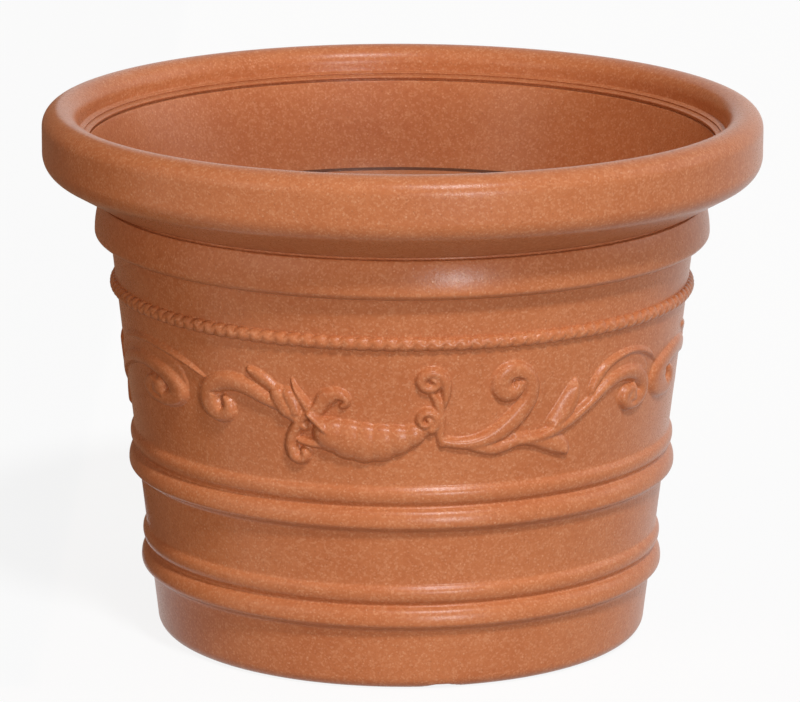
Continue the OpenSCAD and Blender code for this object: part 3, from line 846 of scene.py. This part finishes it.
# Floor, card, lights and camera
# A white sweep of floor, a brown card at the left that no camera sees, softboxes high and low at
# the front right, weak ones at the right edge and the left, a little light from all round, and a
# camera a little above the rim.


def seen_directly(tree):
    """1 for what the camera sees, also in a reflection, and 0 for light that a surface gathers"""
    rays = tree.nodes.new("ShaderNodeLightPath")
    straight, glossy, through = (Field(tree, rays.outputs[label]) for label in
                                 ("Is Camera Ray", "Is Glossy Ray", "Is Transmission Ray"))
    seen = straight + glossy + through
    return seen.step("MINIMUM", seen, 1.0)


SWEEP = 6                        # metres of floor to each side
corners = [(-SWEEP, -SWEEP, 0), (SWEEP, -SWEEP, 0), (SWEEP, SWEEP, 0), (-SWEEP, SWEEP, 0)]
floor = link("floor", mesh_from("floor", corners, [(0, 1, 2, 3)]), smooth=False)
white, tree = bare(bpy.data.materials.new("white_floor"))
matt = node(tree, "ShaderNodeBsdfDiffuse", {}, {"Color": (0.93, 0.93, 0.93, 1)})
grey = node(tree, "ShaderNodeBsdfDiffuse", {}, {"Color": (0.32, 0.30, 0.28, 1)})
paper = node(tree, "ShaderNodeEmission", {}, {"Color": (1, 1, 1, 1), "Strength": 1.0})
bright = node(tree, "ShaderNodeMixShader", {}, {0: 0.88, 1: matt, 2: paper})
skin = node(tree, "ShaderNodeMixShader", {}, {0: seen_directly(tree), 1: grey, 2: bright})
node(tree, "ShaderNodeOutputMaterial", {}, {"Surface": skin})
floor.data.materials.append(white)

# one leaf of the card stands upright and one lies on the floor; it keeps the pot's left side dark,
# shows only in what surfaces gather or reflect, and throws no shadow
FRONT, BACK = -0.2, 3.2
LOW, HIGH = 0.004, 1.3
LEFT_FRONT, LEFT_BACK, LEAF_END = -0.50, -0.70, -0.30
card_points = [(LEFT_FRONT, FRONT, LOW), (LEFT_BACK, BACK, LOW), (LEFT_BACK, BACK, HIGH),
               (LEFT_FRONT, FRONT, HIGH), (LEAF_END, BACK, LOW), (LEAF_END, FRONT, LOW)]
card = link("flag", mesh_from("flag", card_points, [(0, 1, 2, 3), (0, 5, 4, 1)]), smooth=False)
card.visible_camera = False
card.visible_shadow = False
brown, tree = bare(bpy.data.materials.new("brown_card"))
skin = node(tree, "ShaderNodeBsdfDiffuse", {}, {"Color": (0.42, 0.30, 0.21, 1)})
node(tree, "ShaderNodeOutputMaterial", {}, {"Surface": skin})
card.data.materials.append(brown)

# (name, energy, angle across, degrees to the right of the front, degrees above the floor, colour)
COOL, WARM = (0.95, 1.0, 1.05), (1.0, 0.84, 0.66)
for name, energy, across, right, up, hue in (("key_high", 2.10, 9.0, 20.0, 50.0, COOL),
                                             ("key_low", 1.50, 9.0, 20.0, 4.0, COOL),
                                             ("edge", 0.50, 40.0, 100.0, 25.0, COOL),
                                             ("fill", 0.60, 30.0, -48.0, 16.0, WARM)):
    lamp = bpy.data.lights.new(name, "SUN")
    lamp.energy = energy
    lamp.angle = math.radians(across)
    lamp.color = hue
    softbox = bpy.data.objects.new(name, lamp)
    right, up = math.radians(right), math.radians(up)
    toward = Vector((math.sin(right) * math.cos(up), -math.cos(right) * math.cos(up), math.sin(up)))
    softbox.location = toward * 3
    softbox.rotation_euler = toward.to_track_quat("Z", "Y").to_euler()
    bpy.context.scene.collection.objects.link(softbox)

world, tree = bare(bpy.data.worlds.new("white_surround"))
open_sky = node(tree, "ShaderNodeBackground", {}, {"Color": (1, 1, 1, 1), "Strength": 1.0})
dim_sky = node(tree, "ShaderNodeBackground", {}, {"Color": (1.0, 0.80, 0.62, 1), "Strength": 0.17})
sky = node(tree, "ShaderNodeMixShader", {}, {0: seen_directly(tree), 1: dim_sky, 2: open_sky})
node(tree, "ShaderNodeOutputWorld", {}, {"Surface": sky})
bpy.context.scene.world = world

LENS, SENSOR = 247.75, 36        # millimetres
AWAY, ABOVE = 4.5, 1.3165        # metres from the pot's middle and over the floor
DOWN, ROLL, YAW = math.radians(13.515), math.radians(0.2), 0.00033
lens = bpy.data.cameras.new("camera")
lens.lens = LENS
lens.sensor_width = SENSOR
camera = bpy.data.objects.new("camera", lens)
camera.location = (0, -AWAY, ABOVE)
tilt = Matrix.Rotation(YAW, 3, "Z") @ Matrix.Rotation(math.pi / 2 - DOWN, 3, "X")
camera.rotation_euler = (tilt @ Matrix.Rotation(ROLL, 3, "Z")).to_euler()
bpy.context.scene.collection.objects.link(camera)
bpy.context.scene.camera = camera
bpy.context.scene.view_settings.view_transform = "Standard"
